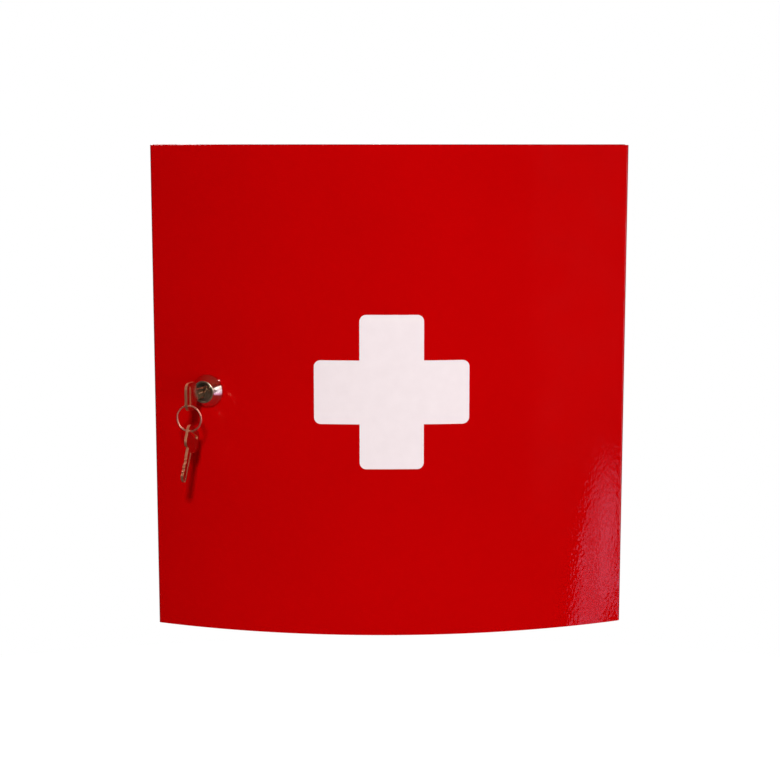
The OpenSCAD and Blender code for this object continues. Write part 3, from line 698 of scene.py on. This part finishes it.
def cutThread(bm):      # a wave along the barrel that climbs one pitch a turn
    skin = lock["barrelRadius"] - lock["threadSkin"]
    for vert in bm.verts:
        if vert.co.z < lock["threadTop"] and vert.co.xy.length > skin:
            turn = (vert.co.z / lock["pitch"] - atan2(vert.co.y, vert.co.x) / (2 * pi)) % 1
            reach = 1 - lock["thread"] * abs(2 * turn - 1) / lock["barrelRadius"]
            vert.co.x *= reach
            vert.co.y *= reach


def lockHousing():
    bm = bmesh.new()
    loop = [bm.verts.new((x, 0, z)) for x, z in housingOutline()]
    for a, b in zip(loop, loop[1:] + loop[:1]):
        bm.edges.new((a, b))
    bmesh.ops.spin(bm, geom=bm.verts[:] + bm.edges[:], cent=(0, 0, 0), axis=(0, 0, 1),
                   angle=2 * pi, steps=lock["sides"], use_merge=True)
    bmesh.ops.remove_doubles(bm, verts=bm.verts, dist=mergeGap)
    cutThread(bm)
    bmesh.ops.recalc_face_normals(bm, faces=bm.faces[:])
    flats = bmesh.new()
    wide, across, tall = lock["flatsCutter"]
    for side in (-1, 1):
        place = Matrix.Translation((side * (lock["flats"] + wide) / 2, 0, -tall / 2))
        bmesh.ops.create_cube(flats, size=1,
                              matrix=place @ Matrix.Diagonal((wide, across, tall, 1)))
    bm = cutBy(bm, flats)
    lug = bmesh.new()      # the stop lug behind the barrel, part of a ring
    inner, outer = lock["lugRadius"]
    corners = [(inner, lock["lugEnd"]), (outer, lock["lugEnd"]), (outer, lock["lugTop"]),
               (inner, lock["lugTop"])]
    lug.faces.new([lug.verts.new((x, 0, z)) for x, z in corners])
    bmesh.ops.rotate(lug, verts=lug.verts, matrix=Matrix.Rotation(radians(lock["lugFrom"]), 3, "Z"))
    bmesh.ops.spin(lug, geom=lug.verts[:] + lug.edges[:] + lug.faces[:], cent=(0, 0, 0),
                   axis=(0, 0, 1), angle=radians(lock["lugSpan"]), steps=lock["lugSides"],
                   use_merge=False)
    bmesh.ops.recalc_face_normals(lug, faces=lug.faces[:])
    bm = cutBy(bm, lug, "UNION")
    bmesh.ops.recalc_face_normals(bm, faces=bm.faces[:])
    satinFrom = lock["height"] - lock["satinDown"]
    satinTo = lock["headRadius"] + lock["satinOut"]
    for face in bm.faces:      # the flat end and the recess are satin, the cone is bright
        middle = face.calc_center_median()
        face.material_index = 2 if middle.z > satinFrom or middle.xy.length < satinTo else 0
    bmesh.ops.transform(bm, matrix=atLock, verts=bm.verts)
    made = piece("lock_bezel", bm, "door", "nickel", ("lock_housing",), smoothTo=30)
    made.data.materials.append(finishes["face"][0])
    return made


lockHousing()
lockInside = {      # finish, and how far the edges are rounded in millimetres
    "lock_washer": ("zinc", 0.15), "lock_nut": ("zinc", 0.2), "lock_plug": ("brass", 0.14),
    "lock_wafers": ("brass", 0.05), "stop_washer": ("zinc", 0.15), "cam_lever": ("zinc", 0.25),
    "cam_washer": ("zinc", 0.12), "cam_screw": ("zinc", 0.15),
}
for name, (finish, edge) in lockInside.items():
    dressed(name, finish, edge)
print("lock made")


keyFlat = atLock.to_3x3() @ Vector((1, 0, 0))
dressed("key", "key", edge=0.22, label="lock_key", flatAlong=keyFlat)
dressed("spare_key", "key", edge=0.22, label="hanging_key", flatAlong=keyFlat)

ring = {      # two coils of flat wire; over the jog the wire steps from one to the other
    "radius": 9.55 * mm, "width": 1.1 * mm, "thick": 0.76 * mm, "layer": 0.4 * mm,
    "corner": 0.3 * mm, "cornerSteps": 4, "drop": -16.05 * mm, "out": 36.2 * mm,
    "jog": 44, "jogAt": 150, "jogSteps": 12, "steps": 72,
}


def splitRing():
    bm = bmesh.new()
    section = bmesh.ops.create_grid(bm, x_segments=1, y_segments=1, size=0.5)["verts"]
    bmesh.ops.scale(bm, vec=(ring["width"], ring["thick"], 1), verts=section)
    bmesh.ops.bevel(bm, geom=bm.verts[:], offset=ring["corner"], affect="VERTICES",
                    segments=ring["cornerSteps"], profile=0.5, material=-1)
    stand = (Matrix.Rotation(radians(ring["jogAt"] + ring["jog"] / 2), 4, "Z")
             @ Matrix.Translation((ring["radius"], 0, -ring["layer"]))
             @ Matrix.Rotation(pi / 2, 4, "X"))
    bmesh.ops.transform(bm, matrix=stand, verts=bm.verts)
    last = bm.faces[:]
    coil = (360 - ring["jog"], 0, ring["steps"])
    for angle, rise, steps in (coil, (ring["jog"], 2 * ring["layer"], ring["jogSteps"]), coil):
        ends = dict.fromkeys(part for face in last for part in (*face.verts, *face.edges, face))
        turned = bmesh.ops.spin(bm, geom=list(ends), cent=(0, 0, 0), axis=(0, 0, 1),
                                dvec=(0, 0, rise / steps), angle=radians(angle), steps=steps,
                                use_merge=False)
        last = [part for part in turned["geom_last"] if isinstance(part, bmesh.types.BMFace)]
    bmesh.ops.remove_doubles(bm, verts=bm.verts, dist=mergeGap)
    bmesh.ops.recalc_face_normals(bm, faces=bm.faces[:])
    place = atLock @ Matrix.Translation((0, ring["drop"], ring["out"]))
    bmesh.ops.transform(bm, matrix=place, verts=bm.verts)
    return piece("split_ring", bm, "key_ring", "wire", ("key_ring",),
                 smoothTo=50)


splitRing()
print("keys made")
